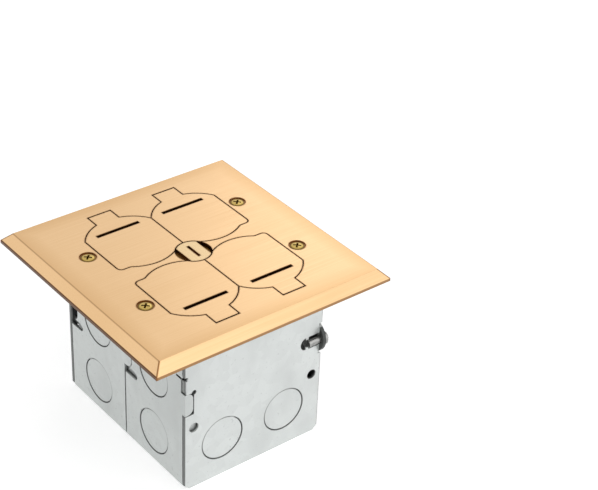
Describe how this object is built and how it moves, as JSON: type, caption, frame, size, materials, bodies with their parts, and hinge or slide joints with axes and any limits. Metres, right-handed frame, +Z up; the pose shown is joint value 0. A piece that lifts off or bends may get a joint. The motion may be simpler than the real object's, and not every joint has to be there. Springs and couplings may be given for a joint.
{
  "type": "floor socket box",
  "caption": "Ganged steel floor box with duplex receptacles under a square brass cover plate with hinged flip lids and a turning centre dial.",
  "frame": {"origin": "under the centre of the cover plate, at the underside of the box", "axes": "+Z up out of the floor, X along the receptacles, Y across the gangs; the panel with the outside screw faces -Y"},
  "size_m": [0.127, 0.127, 0.0896],
  "materials": {
    "plate_brass": "satin",
    "lid_brass": "satin",
    "screw_brass": "polished",
    "contact_brass": "mill",
    "galvanised_steel": "galvanised",
    "plated_steel": "zinc plated",
    "earth_screw_green": "gloss",
    "seal_rubber": "matte",
    "outlet_plastic": "moulded",
    "housing_plastic": "moulded"
  },
  "bodies": {
    "box": {"assembly_screws_front": "plated_steel", "assembly_screws_rear": "plated_steel", "box_earth_screws": "earth_screw_green", "cover_plate": "plate_brass", "cover_screws": "screw_brass", "dial_bridge": "plated_steel", "dial_bridge_screws": "plated_steel", "dial_thrust_washer": "plated_steel", "earth_contact_front": "contact_brass", "earth_contact_rear": "contact_brass", "earth_terminal_screw_front": "earth_screw_green", "earth_terminal_screw_rear": "earth_screw_green", "gang_body_front": "galvanised_steel", "gang_body_rear": "galvanised_steel", "gang_screws": "plated_steel", "hinge_keeper_front_left": "plated_steel", "hinge_keeper_front_right": "plated_steel", "hinge_keeper_rear_left": "plated_steel", "hinge_keeper_rear_right": "plated_steel", "hinge_keeper_screws": "plated_steel", "hinge_pin_front_left": "plated_steel", "hinge_pin_front_right": "plated_steel", "hinge_pin_rear_left": "plated_steel", "hinge_pin_rear_right": "plated_steel", "hot_contact_front": "contact_brass", "hot_contact_rear": "contact_brass", "hot_terminal_screws_front": "contact_brass", "hot_terminal_screws_rear": "contact_brass", "neutral_contact_front": "contact_brass", "neutral_contact_rear": "contact_brass", "neutral_terminal_screws_front": "plated_steel", "neutral_terminal_screws_rear": "plated_steel", "plate_gasket": "seal_rubber", "receptacle_face_front": "outlet_plastic", "receptacle_face_rear": "outlet_plastic", "receptacle_housing_front": "housing_plastic", "receptacle_housing_rear": "housing_plastic", "receptacle_strap_front": "plated_steel", "receptacle_strap_rear": "plated_steel", "side_panel_front": "galvanised_steel", "side_panel_rear": "galvanised_steel", "strap_rivet_front": "contact_brass", "strap_rivet_rear": "contact_brass"},
    "lid_rear_left": {"flip_lid_rear_left": "lid_brass", "lid_seal_rear_left": "seal_rubber"},
    "lid_rear_right": {"flip_lid_rear_right": "lid_brass", "lid_seal_rear_right": "seal_rubber"},
    "lid_front_left": {"flip_lid_front_left": "lid_brass", "lid_seal_front_left": "seal_rubber"},
    "lid_front_right": {"flip_lid_front_right": "lid_brass", "lid_seal_front_right": "seal_rubber"},
    "dial": {"centre_dial": "lid_brass", "dial_stop_pin": "plated_steel", "dial_spring_washer": "plated_steel", "dial_retaining_clip": "plated_steel"}
  },
  "joints": [
    {"name": "lid_rear_left_hinge", "type": "hinge", "parent": "box", "child": "lid_rear_left", "pos_m": [-0.01808, 0.0491, 0.08805], "axis": [-1, 0, 0], "range_deg": [0, 105]},
    {"name": "lid_rear_right_hinge", "type": "hinge", "parent": "box", "child": "lid_rear_right", "pos_m": [0.01808, 0.0491, 0.08805], "axis": [-1, 0, 0], "range_deg": [0, 105]},
    {"name": "lid_front_left_hinge", "type": "hinge", "parent": "box", "child": "lid_front_left", "pos_m": [-0.01808, -0.0491, 0.08805], "axis": [1, 0, 0], "range_deg": [0, 105]},
    {"name": "lid_front_right_hinge", "type": "hinge", "parent": "box", "child": "lid_front_right", "pos_m": [0.01808, -0.0491, 0.08805], "axis": [1, 0, 0], "range_deg": [0, 105]},
    {"name": "dial_turn", "type": "hinge", "parent": "box", "child": "dial", "pos_m": [0, 0, 0.08955], "axis": [0, 0, 1], "range_deg": [0, 90]}
  ]
}
